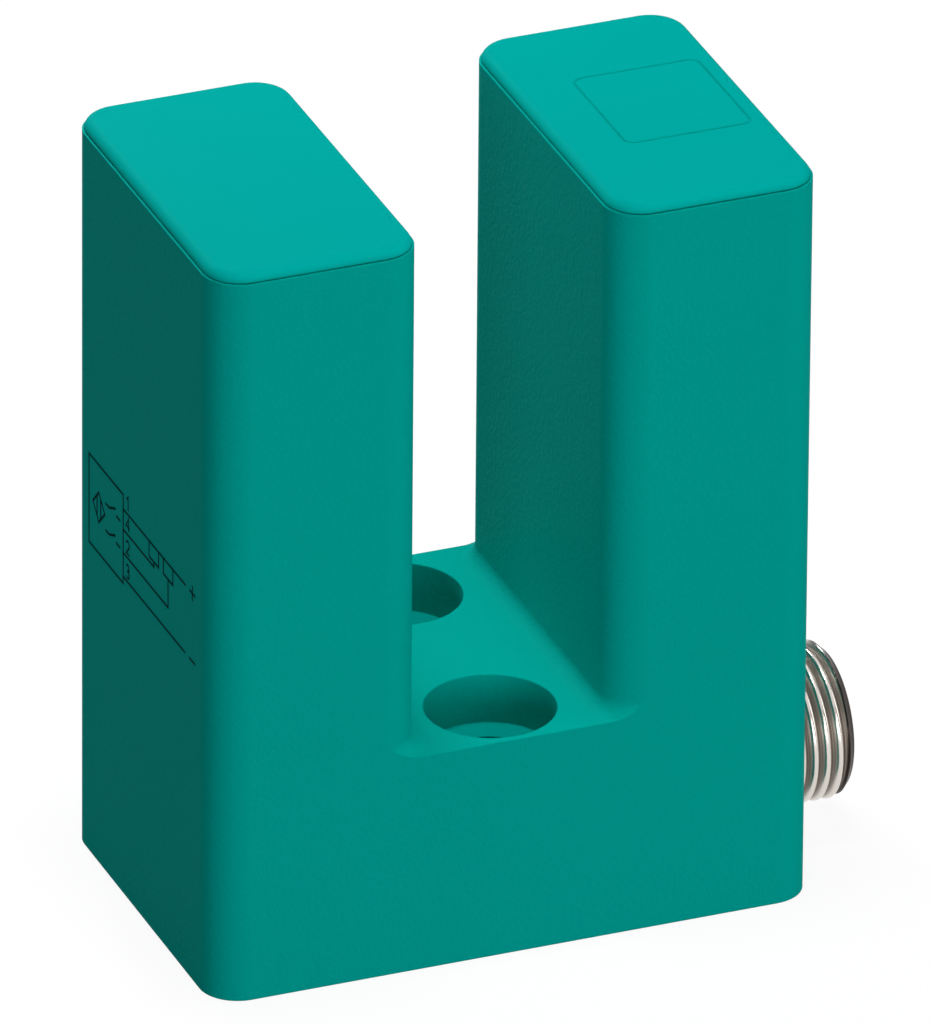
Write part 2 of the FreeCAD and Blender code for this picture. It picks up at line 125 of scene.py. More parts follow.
def link(tree, *links):
    """Join sockets. Each link is a node, its output, another node and its input."""
    for source, output, target, entry in links:
        tree.links.new(source.outputs[output], target.inputs[entry])


def seen_directly(tree):
    """Node whose output is 1 for camera, glossy and transmitted rays, and 0 for all others."""
    rays = add_node(tree, "ShaderNodeLightPath")
    either = add_node(tree, "ShaderNodeMath", operation="MAXIMUM")
    any_of_three = add_node(tree, "ShaderNodeMath", operation="MAXIMUM")
    link(tree,
         (rays, "Is Camera Ray", either, 0), (rays, "Is Glossy Ray", either, 1),
         (either, 0, any_of_three, 0), (rays, "Is Transmission Ray", any_of_three, 1))
    return any_of_three


print("helpers:", [helper.__name__ for helper in (add_node, link, seen_directly)])

# %% [markdown]
# ## Background
# The white ground is not made with more light: only what the camera sees directly, or in
# metal, is lifted to white, and the floor keeps its shadow. Bare nickel in an all-white room
# would look like paper, so the world that metal mirrors has a dark band above its horizon. The
# band is a ramp of greys over the height of a direction, from 0 straight down to 1 straight up.

# %% Build the world
scene.view_settings.view_transform = "Standard"
world = bpy.data.worlds.new("studio")
world.use_nodes = True
scene.world = world
tree = world.node_tree
tree.nodes.clear()

soft = add_node(tree, "ShaderNodeBackground", {"Color": (1, 1, 1, 1), "Strength": 0.144})
white = add_node(tree, "ShaderNodeBackground", {"Color": (1, 1, 1, 1)})
rays = add_node(tree, "ShaderNodeLightPath")
direction = add_node(tree, "ShaderNodeTexCoord")
height = add_node(tree, "ShaderNodeSeparateXYZ")
half = add_node(tree, "ShaderNodeMapRange", {"From Min": -1.0})
band = add_node(tree, "ShaderNodeValToRGB")
for stop, grey in ((0.50, 0.80), (0.60, 0.10), (0.76, 0.12), (0.84, 1.0)):
    mark = band.color_ramp.elements.new(stop)
    mark.color = (grey, grey, grey, 1)
strength = add_node(tree, "ShaderNodeMix", {"A": 1.0}, data_type="FLOAT")
choose = add_node(tree, "ShaderNodeMixShader")
sky = add_node(tree, "ShaderNodeOutputWorld")
link(tree,
     (direction, "Generated", height, "Vector"), (height, "Z", half, "Value"),
     (half, "Result", band, "Fac"), (band, "Color", strength, "B"),
     (rays, "Is Glossy Ray", strength, "Factor"), (strength, "Result", white, "Strength"),
     (seen_directly(tree), 0, choose, 0), (soft, 0, choose, 1), (white, 0, choose, 2),
     (choose, 0, sky, 0))
print("world:", len(tree.nodes), "nodes")

# %% [markdown]
# ## Light
# The object stands in soft studio light. In the photograph the tops and the slot floor are
# lightest, the front is middling, and the left side and the walls of the screw holes are dark.
# So one lamp hangs high overhead, where it looks straight down into the holes, and two wide
# ones stand low in front, one nearly straight ahead and one round the left corner. A third one,
# on the right, lights the side that the photograph doesn't show and the rounded edges that turn
# towards it. Two weak ones behind the object reach into the slot: one from above, one from the
# left, past the left leg, for the slot's wall. Light adds up, so each lamp was rendered alone,
# and the strengths are the ones whose sum comes nearest to the photograph's tones.

# %% Hang the lamps
def add_softbox(name, place, size, watts):
    """Square lamp of a given width that looks at the middle of the object."""
    data = bpy.data.lights.new(name, "AREA")
    data.shape = "SQUARE"
    data.size = size
    data.energy = watts
    towards = Vector(place) - aim
    new_object(name, data).matrix_world = (
        Matrix.Translation(place) @ towards.to_track_quat("Z", "Y").to_matrix().to_4x4())


add_softbox("overhead_softbox", place=(-0.01, -0.01, 0.42), size=0.08, watts=0.77)
add_softbox("front_softbox", place=(0.07, -0.32, 0.07), size=0.22, watts=0.50)
add_softbox("corner_softbox", place=(-0.30, -0.45, 0.06), size=0.20, watts=0.63)
add_softbox("right_softbox", place=(0.50, -0.12, 0.16), size=0.30, watts=0.60)
add_softbox("back_softbox", place=(-0.014, 0.14, 0.13), size=0.04, watts=0.11)
add_softbox("slot_softbox", place=(-0.10, 0.20, 0.06), size=0.06, watts=0.05)

# %% [markdown]
# ## Surfaces from grids
# Most new pieces here are surfaces of two parameters: a set of outlines stacked in rows, or a
# profile carried along a path. Numpy works the points out as whole arrays, and one helper
# turns a grid of rows and columns into four-sided faces. It can close the grid in either
# direction. A second helper makes the mesh, and a third one shades it.

# %% Turn a grid of points into a mesh piece
def grid_faces(rows, columns, close_rows=False, close_columns=True):
    """Corner numbers of every grid cell: the point, its right, upper right and upper one."""
    r = np.arange(rows if close_rows else rows - 1)
    c = np.arange(columns if close_columns else columns - 1)
    r, c = np.meshgrid(r, c, indexing="ij")
    r_next = (r + 1) % rows
    c_next = (c + 1) % columns
    corners = [r * columns + c, r * columns + c_next,
               r_next * columns + c_next, r_next * columns + c]
    return np.stack([x.ravel() for x in corners], axis=1)


def shade_by_angle(piece, sharp_degrees):
    """Smooth shading, with every edge sharper than the angle kept sharp, then normals
    weighted by face area so that flat faces stay flat beside their roundings."""
    mesh = piece.data
    work = bmesh.new()
    work.from_mesh(mesh)
    limit = math.radians(sharp_degrees)
    for face in work.faces:
        face.smooth = True
    for edge in work.edges:
        edge.smooth = len(edge.link_faces) == 2 and edge.calc_face_angle(0) < limit
    work.to_mesh(mesh)
    work.free()
    weighted = piece.modifiers.new("flat_faces_stay_flat", "WEIGHTED_NORMAL")
    weighted.keep_sharp = True


def finished_piece(name, points, faces, merge=0.1 * micrometre, smooth=True, sharp_degrees=38):
    """Object from points and faces: doubles merged, faces outward, smooth but for edges
    where two faces meet at more than a given angle."""
    mesh = bpy.data.meshes.new(name)
    mesh.from_pydata(np.asarray(points).tolist(), [], [list(map(int, f)) for f in faces])
    work = bmesh.new()
    work.from_mesh(mesh)
    bmesh.ops.remove_doubles(work, verts=work.verts, dist=merge)
    bmesh.ops.dissolve_degenerate(work, edges=work.edges, dist=merge)
    bmesh.ops.recalc_face_normals(work, faces=work.faces)
    work.to_mesh(mesh)
    work.free()
    piece = new_object(name, mesh)
    if smooth:
        shade_by_angle(piece, sharp_degrees)
    return piece


print("grid of 3 by 4 has", len(grid_faces(3, 4)), "cells")

# %% [markdown]
# ## Moulded plastic
# The housing is a dull teal plastic with a fine grain from its mould, the caps are the same
# plastic from a smoother mould. A picture of plastic could be wrapped round the part, but
# noise worked out in the object's own coordinates needs no picture, never stretches and has
# the right size from every side. Three effects are shared by several finishes, so each is
# built once as a group with named inputs: grain, soft edges and a drift of colour.

# %% Build the shared effects
def new_group(name, inputs, outputs):
    """Empty shader node group with named sockets. Gives its tree, input and output nodes."""
    group = bpy.data.node_groups.new(name, "ShaderNodeTree")
    for title, kind in inputs.items():
        group.interface.new_socket(title, in_out="INPUT", socket_type=kind)
    for title, kind in outputs.items():
        group.interface.new_socket(title, in_out="OUTPUT", socket_type=kind)
    return group, add_node(group, "NodeGroupInput"), add_node(group, "NodeGroupOutput")


a_number, a_vector, a_colour = "NodeSocketFloat", "NodeSocketVector", "NodeSocketColor"

grain, given, made = new_group(
    "moulded_grain",
    {"Cells per metre": a_number, "Depth": a_number, "Strength": a_number,
     "Normal": a_vector},
    {"Normal": a_vector, "Grain": a_number})
where = add_node(grain, "ShaderNodeTexCoord")
noise = add_node(grain, "ShaderNodeTexNoise",
                 {"Detail": 4.0, "Roughness": 0.62, "Distortion": 0.4})
bump = add_node(grain, "ShaderNodeBump")
link(grain,
     (where, "Object", noise, "Vector"), (given, "Cells per metre", noise, "Scale"),
     (noise, "Fac", bump, "Height"), (given, "Strength", bump, "Strength"),
     (given, "Depth", bump, "Distance"), (given, "Normal", bump, "Normal"),
     (bump, "Normal", made, "Normal"), (noise, "Fac", made, "Grain"))

# A point near an edge is one whose bevelled normal leaves the face's own: their cosine falls
soft_edge, given, made = new_group(
    "soft_edge", {"Radius": a_number}, {"Normal": a_vector, "Edge": a_number})
rounded = add_node(soft_edge, "ShaderNodeBevel", samples=6)
surface = add_node(soft_edge, "ShaderNodeNewGeometry")
cosine = add_node(soft_edge, "ShaderNodeVectorMath", operation="DOT_PRODUCT")
away = add_node(soft_edge, "ShaderNodeMapRange", {"From Min": 0.995, "From Max": 0.80})
link(soft_edge,
     (given, "Radius", rounded, "Radius"), (rounded, "Normal", cosine, 0),
     (surface, "Normal", cosine, 1), (cosine, "Value", away, "Value"),
     (rounded, "Normal", made, "Normal"), (away, "Result", made, "Edge"))

drift, given, made = new_group(
    "colour_drift", {"Colour": a_colour, "Other": a_colour, "Spots per metre": a_number},
    {"Colour": a_colour})
where = add_node(drift, "ShaderNodeTexCoord")
spots = add_node(drift, "ShaderNodeTexNoise", {"Detail": 3.0})
blend = add_node(drift, "ShaderNodeMix", data_type="RGBA")
link(drift,
     (where, "Object", spots, "Vector"), (given, "Spots per metre", spots, "Scale"),
     (spots, "Fac", blend, "Factor"), (given, "Colour", blend, "A"),
     (given, "Other", blend, "B"), (blend, "Result", made, "Colour"))
print("groups:", [g.name for g in bpy.data.node_groups])


# %% Mix a finish from them
def new_material(name, sockets):
    """Material with only a Principled shader, whose plain values are set by name. Gives it
    with its tree and the shader."""
    material = bpy.data.materials.new(name)
    material.use_nodes = True
    tree = material.node_tree
    tree.nodes.clear()
    shader = add_node(tree, "ShaderNodeBsdfPrincipled", sockets)
    output = add_node(tree, "ShaderNodeOutputMaterial")
    link(tree, (shader, "BSDF", output, "Surface"))
    return material, tree, shader


rough_swing = 0.08


def moulded(name, colour, other, rough, cells=1800, depth=10 * micrometre, strength=0.3,
            gloss=0.3, metal=0.0, edge_radius=200 * micrometre, edge_colour=None, spots=60):
    """Finish with a drift between two colours, grain in its bump and roughness, and soft,
    slightly different edges. Cells and spots are counted per metre."""
    material, tree, shader = new_material(
        name, {"Specular IOR Level": gloss, "Metallic": metal})
    colours = add_node(
        tree, "ShaderNodeGroup",
        {"Colour": (*colour, 1), "Other": (*other, 1), "Spots per metre": spots},
        node_tree=drift)
    edges = add_node(tree, "ShaderNodeGroup", {"Radius": edge_radius}, node_tree=soft_edge)
    # Near an edge the colour turns towards the edge colour, lighter on the plastics
    edge_tint = add_node(tree, "ShaderNodeMix", {"B": (*(edge_colour or other), 1)},
                   data_type="RGBA")
    skin = add_node(
        tree, "ShaderNodeGroup",
        {"Cells per metre": cells, "Depth": depth, "Strength": strength}, node_tree=grain)
    sheen = add_node(tree, "ShaderNodeMapRange",
                     {"To Min": rough - rough_swing, "To Max": rough + rough_swing})
    link(tree,
         (colours, "Colour", edge_tint, "A"), (edges, "Edge", edge_tint, "Factor"),
         (edge_tint, "Result", shader, "Base Color"), (edges, "Normal", skin, "Normal"),
         (skin, "Normal", shader, "Normal"), (skin, "Grain", sheen, "Value"),
         (sheen, "Result", shader, "Roughness"))
    return material


print("a moulded finish swings its roughness by", rough_swing, "either way")

# %% Mix every moulded finish
recipes = {
    "housing_plastic": dict(
        colour=(0.0, 0.385, 0.335), other=(0.0, 0.405, 0.352), edge_colour=(0.0, 0.47, 0.41),
        edge_radius=180 * micrometre, rough=0.55, gloss=0.004,
        cells=2600, depth=60 * micrometre, strength=1.0),
    "cap_plastic": dict(
        colour=(0.0, 0.385, 0.350), other=(0.0, 0.398, 0.362), edge_colour=(0.0, 0.44, 0.39),
        rough=0.50, gloss=0.002, cells=4200, depth=4 * micrometre, strength=0.25),
    "seal_rubber": dict(colour=(0.018, 0.018, 0.018), other=(0.03, 0.03, 0.03), rough=0.65),
    "black_plastic": dict(
        colour=(0.012, 0.012, 0.013), other=(0.022, 0.022, 0.023), rough=0.42,
        cells=5000, depth=4 * micrometre),
    "board_laminate": dict(
        colour=(0.02, 0.16, 0.05), other=(0.03, 0.21, 0.07), rough=0.38,
        cells=2500, depth=6 * micrometre, spots=500),
    "ferrite": dict(
        colour=(0.035, 0.035, 0.037), other=(0.060, 0.058, 0.058), rough=0.55,
        cells=7000, depth=8 * micrometre, strength=0.5, spots=900),
    "carrier_plastic": dict(
        colour=(0.55, 0.52, 0.44), other=(0.60, 0.57, 0.50), rough=0.48,
        cells=4000, depth=4 * micrometre),
    "ceramic": dict(
        colour=(0.42, 0.33, 0.22), other=(0.50, 0.40, 0.28), rough=0.45,
        cells=9000, depth=4 * micrometre, spots=1500),
    "component_black": dict(
        colour=(0.012, 0.012, 0.012), other=(0.024, 0.024, 0.024), rough=0.5,
        cells=9000, depth=4 * micrometre),
    "gold_plate": dict(
        colour=(0.85, 0.60, 0.24), other=(0.80, 0.55, 0.22), rough=0.26, gloss=0.5,
        metal=1.0, edge_radius=50 * micrometre, cells=9000, depth=2 * micrometre),
    "black_ink": dict(
        colour=(0.002, 0.034, 0.034), other=(0.003, 0.050, 0.050), rough=0.7, gloss=0.004,
        cells=5000, depth=2 * micrometre),
}
wire_colours = {"wire_brown": (0.10, 0.035, 0.012), "wire_white": (0.70, 0.69, 0.66),
                "wire_blue": (0.012, 0.05, 0.28), "wire_black": (0.014, 0.014, 0.015)}
for wire, colour in wire_colours.items():
    paler = tuple(1.15 * channel + 0.004 for channel in colour)
    recipes[wire] = dict(colour=colour, other=paler, rough=0.40, cells=6000,
                         depth=3 * micrometre)
finish = {name: moulded(name, **recipe) for name, recipe in recipes.items()}
print("finishes:", sorted(finish))

# %% [markdown]
# ## Copper
# The coil wire lies in turns side by side, which shows as fine ridges along the coil's axis.
# Wire by wire it would take hundreds of thousands of faces for something that is only seen
# when the sensor is opened, so a band pattern in the bump gives the turns, and the same bands
# darken the colour in the grooves between turns as painted shade.

# %% Make the copper
def copper():
    """Copper with bands along X, one band per turn of wire, in its bump, and in its colour as
    painted shade that darkens the grooves between turns.
    """
    material, tree, shader = new_material("copper_wire", {"Metallic": 1.0, "Roughness": 0.32})
    where = add_node(tree, "ShaderNodeTexCoord")
    bands = add_node(tree, "ShaderNodeTexWave", {"Scale": 1300.0, "Distortion": 0.6},
                     bands_direction="X", wave_profile="SIN")
    bump = add_node(tree, "ShaderNodeBump", {"Distance": 60 * micrometre})
    # Painted shade: the colour is darkest in the grooves between turns
    painted_groove_shade = add_node(tree, "ShaderNodeMix",
                      {"A": (0.22, 0.06, 0.02, 1), "B": (0.80, 0.34, 0.16, 1)},
                      data_type="RGBA")
    link(tree,
         (where, "Object", bands, "Vector"), (bands, "Fac", bump, "Height"),
         (bands, "Fac", painted_groove_shade, "Factor"), (painted_groove_shade, "Result", shader, "Base Color"),
         (bump, "Normal", shader, "Normal"))
    return material


finish["copper_wire"] = copper()
print("metal:", finish["copper_wire"].name)

# %% [markdown]
# ## Plated metal
# The plug's sleeve is nickel over brass: bright on its crests, a little brown and dull down in
# its thread, and dark on the bevel at its mouth. The brown and dark in the thread's roots are
# painted shade, partly dirt, and the dark bevel at the mouth is painted shade. How deep a point
# lies is its distance from the sleeve's axis, and how near the mouth is its X, both read from its
# own place.
# The solid gives the sleeve's ends and its axis. Its outline has a corner straight behind the
# axis but none straight in front of it, so Y is measured from the back.

# %% Make the plated brass
sleeve_low, sleeve_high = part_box("connector_shell")
thread_radius = 6.0 * millimetre
thread_depth = 0.38 * millimetre
rear = sleeve_low.x
mouth = sleeve_high.x
plug_y = sleeve_high.y - thread_radius
plug_z = (sleeve_low.z + sleeve_high.z) / 2
# Crests above this depth keep the nickel's full colour, free of painted shade
unshaded_crest_depth = 0.15 * thread_depth
# The mouth's bevel is darkened by painted shade, fading in between these two places
mouth_shade_starts = mouth - 0.72 * millimetre
mouth_shade_full = mouth - 0.62 * millimetre


def plated():
    """Nickel whose colour and roughness change from the thread's roots to its crests: the roots
    are darkened by painted shade, partly dirt, and the mouth's bevel by painted shade.
    """
    material, tree, shader = new_material("plated_brass", {"Metallic": 1.0})
    where = add_node(tree, "ShaderNodeTexCoord")
    centred = add_node(tree, "ShaderNodeMapping", {"Location": (0, -plug_y, -plug_z)})
    flat = add_node(tree, "ShaderNodeVectorMath", {1: (0, 1, 1)}, operation="MULTIPLY")
    reach = add_node(tree, "ShaderNodeVectorMath", operation="LENGTH")
    crest = add_node(tree, "ShaderNodeMapRange",
                     {"From Min": thread_radius - thread_depth,
                      "From Max": thread_radius - unshaded_crest_depth})
    # Painted shade, partly dirt: the colour darkens from the crests down to the roots
    colours = add_node(tree, "ShaderNodeMix",
                       {"A": (0.20, 0.165, 0.14, 1), "B": (0.70, 0.65, 0.60, 1)},
                       data_type="RGBA")
    rough = add_node(tree, "ShaderNodeMapRange", {"To Min": 0.50, "To Max": 0.24})
    apart = add_node(tree, "ShaderNodeSeparateXYZ")
    near_mouth = add_node(tree, "ShaderNodeMapRange",
                          {"From Min": mouth_shade_starts, "From Max": mouth_shade_full})
    # Painted shade on the bevel at the mouth
    painted_mouth_shade = add_node(tree, "ShaderNodeMix", {"B": (0.038, 0.028, 0.024, 1)},
                         data_type="RGBA")
    skin = add_node(
        tree, "ShaderNodeGroup",
        {"Cells per metre": 6000, "Depth": 3 * micrometre, "Strength": 0.3}, node_tree=grain)
    edges = add_node(tree, "ShaderNodeGroup", {"Radius": 50 * micrometre},
                     node_tree=soft_edge)
    link(tree,
         (where, "Object", centred, "Vector"), (centred, "Vector", flat, 0),
         (flat, "Vector", reach, 0), (reach, "Value", crest, "Value"),
         (crest, "Result", colours, "Factor"), (crest, "Result", rough, "Value"),
         (where, "Object", apart, "Vector"), (apart, "X", near_mouth, "Value"),
         (near_mouth, "Result", painted_mouth_shade, "Factor"), (colours, "Result", painted_mouth_shade, "A"),
         (painted_mouth_shade, "Result", shader, "Base Color"), (rough, "Result", shader, "Roughness"),
         (edges, "Normal", skin, "Normal"), (skin, "Normal", shader, "Normal"))
    return material


finish["plated_brass"] = plated()
print("plug's axis at y %.2f, z %.2f mm" % (plug_y / millimetre, plug_z / millimetre))

# %% [markdown]
# ## The pieces that keep their solid shape
# Inside the housing sit the ferrite cores, bobbins, windings, the board with its parts and the
# wires. Their solids are right as they are. Each only trades the plain colour of the packed
# model for its finish. A new piece needs three things: a finish, the name of the material slot
# that it stands for, and the body that it rides on, which is the same one for all of them.

# %% Dress the solids
dressed = {}
for name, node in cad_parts.items():
    for slot in node.material_slots:
        kind = slot.material.name.split(".")[0]
        slot.material = finish[kind]
        dressed.setdefault(kind, []).append(name)
for kind, names in sorted(dressed.items()):
    print(kind, len(names))


def dress(piece, kind, skin=None):
    """Give a new piece one material, the finish named by its kind or by another name,
    and the body that it rides on."""
    piece.data.materials.clear()
    piece.data.materials.append(finish[skin or kind])
    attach(piece, "root")
    return piece


# %% [markdown]
# ## The housing
# The solid has the housing's true form: two hollow legs on one base, rounded upright edges, a
# soft fillet round the foot of each leg, and two counterbored holes. Its mesh is a heap of
# loose triangles, so its roundings would look faceted. A copy whose doubles are merged can be
# shaded smoothly, with every real edge kept. On the real legs the lip round the cap hardly
# shows, because the cap's edge reaches out over it, so the copy's lip is lowered to make room.

# %% Smooth a copy of the housing
housing_low, housing_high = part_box("housing")
solid_lip_top = housing_high.z
lip_top = 59.51 * millimetre
same_height = 10 * micrometre


def merged_copy(node_name, piece_name, sharp_degrees):
    """Copy of a solid's mesh with its double points merged, its highest points lowered to
    the lip's top, and smooth shading up to an angle."""
    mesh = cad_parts[node_name].data.copy()
    mesh.name = piece_name
    work = bmesh.new()
    work.from_mesh(mesh)
    bmesh.ops.remove_doubles(work, verts=work.verts, dist=0.2 * micrometre)
    work.to_mesh(mesh)
    work.free()
    points = np.empty(3 * len(mesh.vertices))
    mesh.vertices.foreach_get("co", points)
    points = points.reshape(-1, 3)
    points[points[:, 2] > solid_lip_top - same_height, 2] = lip_top
    mesh.vertices.foreach_set("co", points.ravel())
    mesh.update()
    piece = new_object(piece_name, mesh)
    shade_by_angle(piece, sharp_degrees)
    return piece


housing = dress(merged_copy("housing", "moulded_housing", sharp_degrees=30), "housing_plastic")
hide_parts("housing")
print("housing:", len(housing.data.vertices), "points", len(housing.data.polygons), "faces")

# %% [markdown]
# ## The caps
# Each leg is closed by a cap. Its foot sits in a shallow seat, its edge reaches out over the
# lip almost to the outer wall, and a fine dark groove is left between the two. The top edge is
# rounded all the way round. The cap is a stack of rounded rectangles: each row is the outline
# drawn in by an inset at some height, and the insets of the upper rows follow a quarter of an
# ellipse. The solid cap gives the place and the size of its foot.

# %% Stack the outlines of a cap
def rounded_rectangle(half_x, half_y, radius, steps=10):
    """Outline whose corners are quarter circles: corner centre + radius * (cos t, sin t)."""
    t = np.linspace(0, math.pi / 2, steps)
    quarter = np.stack([np.cos(t), np.sin(t)], axis=1) * radius
    corners = []
    for k, (sx, sy) in enumerate(((1, 1), (-1, 1), (-1, -1), (1, -1))):
        c, s = math.cos(k * math.pi / 2), math.sin(k * math.pi / 2)
        turned = quarter @ np.array([[c, s], [-s, c]])
        corners.append(turned + [sx * (half_x - radius), sy * (half_y - radius)])
    return np.concatenate(corners)


def outline_stack(half_x, half_y, radius, levels, centre):
    """Rows of points: row k is the outline drawn in by levels[k][0] at height levels[k][1]."""
    rows = []
    for inset, height in levels:
        ring = rounded_rectangle(half_x - inset, half_y - inset, radius - inset) + centre
        rows.append(np.column_stack([ring, np.full(len(ring), height)]))
    return np.stack(rows)


cap_overhang = 0.19 * millimetre
cap_corner = 2.65 * millimetre + cap_overhang
cap_seat = 59.40 * millimetre
cap_groove = 59.53 * millimetre
cap_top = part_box("right_cap")[1].z
cap_round_in = 0.80 * millimetre
cap_round_high = 0.70 * millimetre
quarter_turn = np.linspace(0, math.pi / 2, 9)


def cap_piece(node_name):
    """Cap of one leg: a foot on the seat, an edge over the lip, a rounding and a flat top."""
    low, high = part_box(node_name)
    middle = (low + high) / 2
    half = (high - low) / 2
    levels = [(cap_overhang, cap_seat), (cap_overhang, cap_groove)]
    levels += list(zip(cap_round_in * (1 - np.cos(quarter_turn)),
                       cap_top - cap_round_high * (1 - np.sin(quarter_turn))))
    rows = outline_stack(half.x + cap_overhang, half.y + cap_overhang, cap_corner, levels,
                         [middle.x, middle.y])
    count, columns = rows.shape[:2]
    faces = grid_faces(count, columns).tolist()
    faces.append(list(range(columns))[::-1])
    faces.append(list(range((count - 1) * columns, count * columns)))
    return finished_piece(node_name + "_shell", rows.reshape(-1, 3), faces, sharp_degrees=30)


for node_name in ("left_cap", "right_cap"):
    cap = dress(cap_piece(node_name), "cap_plastic")
    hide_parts(node_name)
print("caps:", len(cap.data.polygons), "faces each")

# %% [markdown]
# ## The thread
# The sleeve carries a fine metric thread, 12 mm over its crests with a turn every millimetre.
# Rings stacked along the axis would look right from afar, but a real thread climbs. So every
# column of the grid is slid along the axis by its share of one turn, and the last column is
# joined to the first one turn further on. The thread is rolled, so its crests and roots are
# round: the profile is a cosine wave, raised to a power that makes the crests wider.

# %% Carry the thread's profile round its axis
pitch = 1.0 * millimetre
thread_start = 24.4 * millimetre
neck_radius = 5.4 * millimetre
bore_radius = 4.4 * millimetre
mouth_bevel = 0.6 * millimetre
bore_bevel = 0.3 * millimetre
crest_power = 1.6
columns_round_sleeve = 120
steps_per_turn = 12
turns_before = 2
turns_past = 1


def thread_height(phase):
    """Radius for a share of one turn: crest radius - depth * wave ** power, where the wave is
    (1 - cos(2 pi share)) / 2 and the power widens the crest."""
    wave = (1 - np.cos(2 * math.pi * phase)) / 2
    return thread_radius - thread_depth * wave ** crest_power


def threaded_surface(columns):
    """Grid over the thread: x = start + (row + column share) * pitch, clipped to the ends,
    and the radius is the profile at that phase, cut by a bevel at each end. The rows begin
    some turns before the start and end past the mouth, so every column reaches both ends."""
    turns = round((mouth - thread_start) / pitch) + turns_before + turns_past
    rows = turns * steps_per_turn
    along, share = np.meshgrid(np.arange(rows) / steps_per_turn, np.arange(columns) / columns,
                               indexing="ij")
    x = thread_start + (along - turns_before + share) * pitch
    clipped = np.clip(x, thread_start, mouth)
    radius = thread_height(along + (clipped - x) / pitch)
    radius = np.minimum(radius, thread_radius - (clipped - (mouth - mouth_bevel)))
    radius = np.minimum(radius, neck_radius + (clipped - thread_start))
    angle = 2 * math.pi * share
    points = np.stack([clipped, plug_y + radius * np.cos(angle),
                       plug_z + radius * np.sin(angle)], axis=-1)
    last = np.arange(rows - 1 - steps_per_turn) * columns + columns - 1
    first = (np.arange(rows - 1 - steps_per_turn) + steps_per_turn) * columns
    seam = np.stack([last, first, first + columns, last + columns], axis=1)
    faces = grid_faces(rows, columns, close_columns=False)
    return points.reshape(-1, 3), np.concatenate([faces, seam])


def turned_surface(profile, columns, y, z):
    """Rows of (x, radius) points carried round the axis: y + r cos a, z + r sin a."""
    profile = np.asarray(profile, dtype=float)
    angle = np.linspace(0, 2 * math.pi, columns, endpoint=False)
    x = np.repeat(profile[:, :1], columns, axis=1)
    r = profile[:, 1:]
    points = np.stack([x, y + r * np.cos(angle), z + r * np.sin(angle)], axis=-1)
    return points.reshape(-1, 3), grid_faces(len(profile), columns)


thread_points, thread_faces = threaded_surface(columns_round_sleeve)
shell_profile = [(mouth, thread_radius - mouth_bevel), (mouth, bore_radius + bore_bevel),
                 (mouth - bore_bevel, bore_radius), (rear, bore_radius), (rear, neck_radius),
                 (thread_start, neck_radius)]
shell_points, shell_faces = turned_surface(shell_profile, columns_round_sleeve, plug_y, plug_z)
points = np.concatenate([thread_points, shell_points])
faces = np.concatenate([thread_faces, shell_faces + len(thread_points)])
sleeve = dress(finished_piece("threaded_sleeve", points, faces, merge=2 * micrometre,
                              sharp_degrees=24), "plated_brass")
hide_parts("connector_shell")
print("sleeve:", len(sleeve.data.polygons), "faces")

# %% [markdown]
# ## The contacts
# Four gold-plated pins stand in the plug. Each is a turned piece with a round nose, so its
# profile is a straight side and a quarter ellipse, carried round the pin's own axis. A solid
# pin is a plain rod, and it gives the axis, the ends and the radius.

# %% Turn the pins
nose = 0.7 * millimetre
point_radius = 1 * micrometre
columns_round_pin = 32
for number in (1, 2, 3, 4):
    low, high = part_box("contact_pin_%d" % number)
    middle = (low + high) / 2
    radius = (high.y - low.y) / 2
    profile = [(low.x, point_radius), (low.x, radius)]
    profile += list(zip(high.x - nose + nose * np.sin(quarter_turn),
                        np.maximum(radius * np.cos(quarter_turn), point_radius)))
    points, faces = turned_surface(profile, columns_round_pin, middle.y, middle.z)
    pin = dress(finished_piece("round_nosed_pin_%d" % number, points, faces,
                               merge=3 * micrometre), "gold_plate")
    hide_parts("contact_pin_%d" % number)
print("pins: 4, tips at x = %.1f mm" % (high.x / millimetre))

# %% [markdown]
# ## The printed wiring picture
# The left side carries a small black wiring picture: a box with the sensor's sign, four lines
# that end at its supply and load, and a number at each line. A picture texture would need a
# file, so each line is a thin ribbon of ink, a profile carried along a path. The path is drawn
# in millimetres across (positive to the back) and up, and stands a hair off the plastic.

# %% Draw ribbons of ink
widest_mitre = 2.0


def ribbon(path, width, closed=False):
    """Both sides of a flat path: each point is moved half the width to either side along the
    mitre of its two runs, and at a corner up to the widest mitre times as far."""
    path = np.asarray(path, dtype=float)
    before = np.roll(path, 1, axis=0)
    after = np.roll(path, -1, axis=0)
    if not closed:
        before[0] = 2 * path[0] - path[1]
        after[-1] = 2 * path[-1] - path[-2]
    into = path - before
    out = after - path
    into /= np.linalg.norm(into, axis=1, keepdims=True)
    out /= np.linalg.norm(out, axis=1, keepdims=True)
    side = np.stack([-(into + out)[:, 1], (into + out)[:, 0]], axis=1)
    side /= np.linalg.norm(side, axis=1, keepdims=True)
    across = np.stack([-out[:, 1], out[:, 0]], axis=1)
    cosine = np.sum(side * across, axis=1, keepdims=True)
    side = side / np.clip(cosine, 1 / widest_mitre, 1.0) * width / 2
    return path - side, path + side


